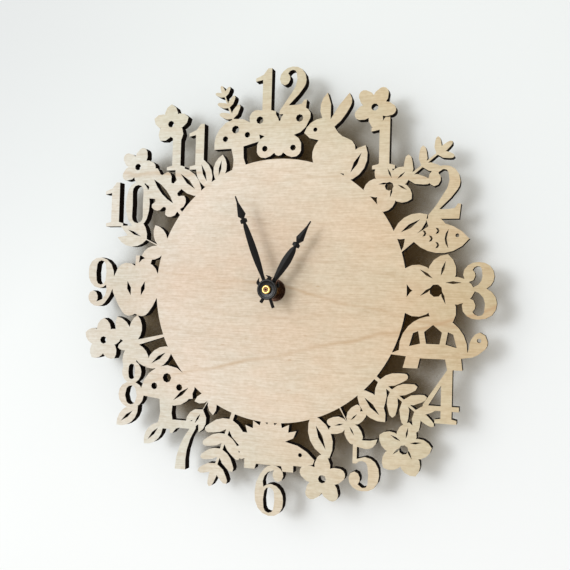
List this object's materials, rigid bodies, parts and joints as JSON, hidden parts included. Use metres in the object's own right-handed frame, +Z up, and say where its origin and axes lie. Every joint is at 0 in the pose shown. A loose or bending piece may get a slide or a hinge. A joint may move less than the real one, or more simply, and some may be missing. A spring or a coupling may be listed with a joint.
{
  "type": "fretwork wall clock",
  "caption": "Round plywood wall clock with a laser-cut ring of numerals, animals, flowers and leaves, black spade hands and a battery quartz movement behind it.",
  "frame": {"origin": "on the axis of the hands, in the wall plane that the back of the movement lies on", "axes": "+Y points into the wall, so the face looks along -Y; +Z is up; +X is to the reader's right"},
  "size_m": [0.2874, 0.0409, 0.2988],
  "materials": {
    "birch_plywood": "sanded, with edges darkened by the laser",
    "case_plastic": "fine mould texture",
    "hand_paint": "satin black",
    "brass": "satin",
    "dark_brass": "tarnished",
    "zinc_steel": "zinc plated",
    "battery_wrap": "gloss wrap without a label",
    "spring_steel": "nickel plated",
    "board_green": "solder mask",
    "chip_black": "resin",
    "crystal_can": "drawn can",
    "motor_iron": "stamped",
    "bobbin_plastic": "moulded",
    "copper_wire": "enamelled",
    "gear_plastic": "moulded acetal",
    "gear_red": "moulded acetal",
    "magnet_grey": "sintered"
  },
  "bodies": {
    "clock": {"face_panel": "birch_plywood", "movement_case": "case_plastic", "movement_cover": "case_plastic", "train_bridge": "bobbin_plastic", "threaded_bushing": "brass", "hanger_plate": "zinc_steel", "brass_washer": "brass", "hex_nut": "dark_brass", "battery_contact_positive": "spring_steel", "battery_contact_negative": "spring_steel", "circuit_board": "board_green", "chip": "chip_black", "quartz_crystal": "crystal_can", "stator": "motor_iron", "coil_core": "motor_iron", "coil_bobbin": "bobbin_plastic", "coil_winding": "copper_wire"},
    "battery": {"battery": "battery_wrap"},
    "minute": {"minute_arbor": "brass", "minute_hand": "hand_paint", "hand_nut": "brass"},
    "hour": {"hour_wheel": "gear_plastic", "hour_hand": "hand_paint"},
    "setting": {"minute_wheel": "gear_plastic", "setting_knob": "case_plastic"},
    "rotor": {"rotor": "magnet_grey"},
    "fifth": {"fifth_wheel": "gear_plastic"},
    "second": {"second_wheel": "gear_red"},
    "third": {"third_wheel": "gear_plastic"},
    "centre": {"centre_wheel": "gear_plastic"}
  },
  "joints": [
    {"name": "minute_hand_turn", "type": "hinge", "parent": "clock", "child": "minute", "pos_m": [0, 0, 0], "axis": [0, 1, 0], "continuous": true},
    {"name": "hour_hand_turn", "type": "hinge", "parent": "clock", "child": "hour", "pos_m": [0, 0, 0], "axis": [0, 1, 0], "continuous": true},
    {"name": "setting_turn", "type": "hinge", "parent": "clock", "child": "setting", "pos_m": [-0.01, 0, 0], "axis": [0, 1, 0], "continuous": true},
    {"name": "rotor_turn", "type": "hinge", "parent": "clock", "child": "rotor", "pos_m": [0.0074, 0, 0.01607], "axis": [0, 1, 0], "continuous": true},
    {"name": "fifth_wheel_turn", "type": "hinge", "parent": "clock", "child": "fifth", "pos_m": [0.0032, 0, 0.0088], "axis": [0, 1, 0], "continuous": true},
    {"name": "second_wheel_turn", "type": "hinge", "parent": "clock", "child": "second", "pos_m": [0, 0, 0], "axis": [0, 1, 0], "continuous": true},
    {"name": "third_wheel_turn", "type": "hinge", "parent": "clock", "child": "third", "pos_m": [0.00918, 0, 0], "axis": [0, 1, 0], "continuous": true},
    {"name": "centre_wheel_turn", "type": "hinge", "parent": "clock", "child": "centre", "pos_m": [0, 0, 0], "axis": [0, 1, 0], "continuous": true},
    {"name": "battery_slide", "type": "slide", "parent": "clock", "child": "battery", "axis": [0, 1, 0], "range_m": [0, 0.02]}
  ],
  "couplings": [
    {"joint": "hour_hand_turn", "follows": "minute_hand_turn", "ratio": 0.083333},
    {"joint": "setting_turn", "follows": "minute_hand_turn", "ratio": -0.33333},
    {"joint": "fifth_wheel_turn", "follows": "rotor_turn", "ratio": -0.16667},
    {"joint": "second_wheel_turn", "follows": "rotor_turn", "ratio": 0.033333},
    {"joint": "third_wheel_turn", "follows": "rotor_turn", "ratio": -0.0044444},
    {"joint": "centre_wheel_turn", "follows": "rotor_turn", "ratio": 0.00055556}
  ]
}
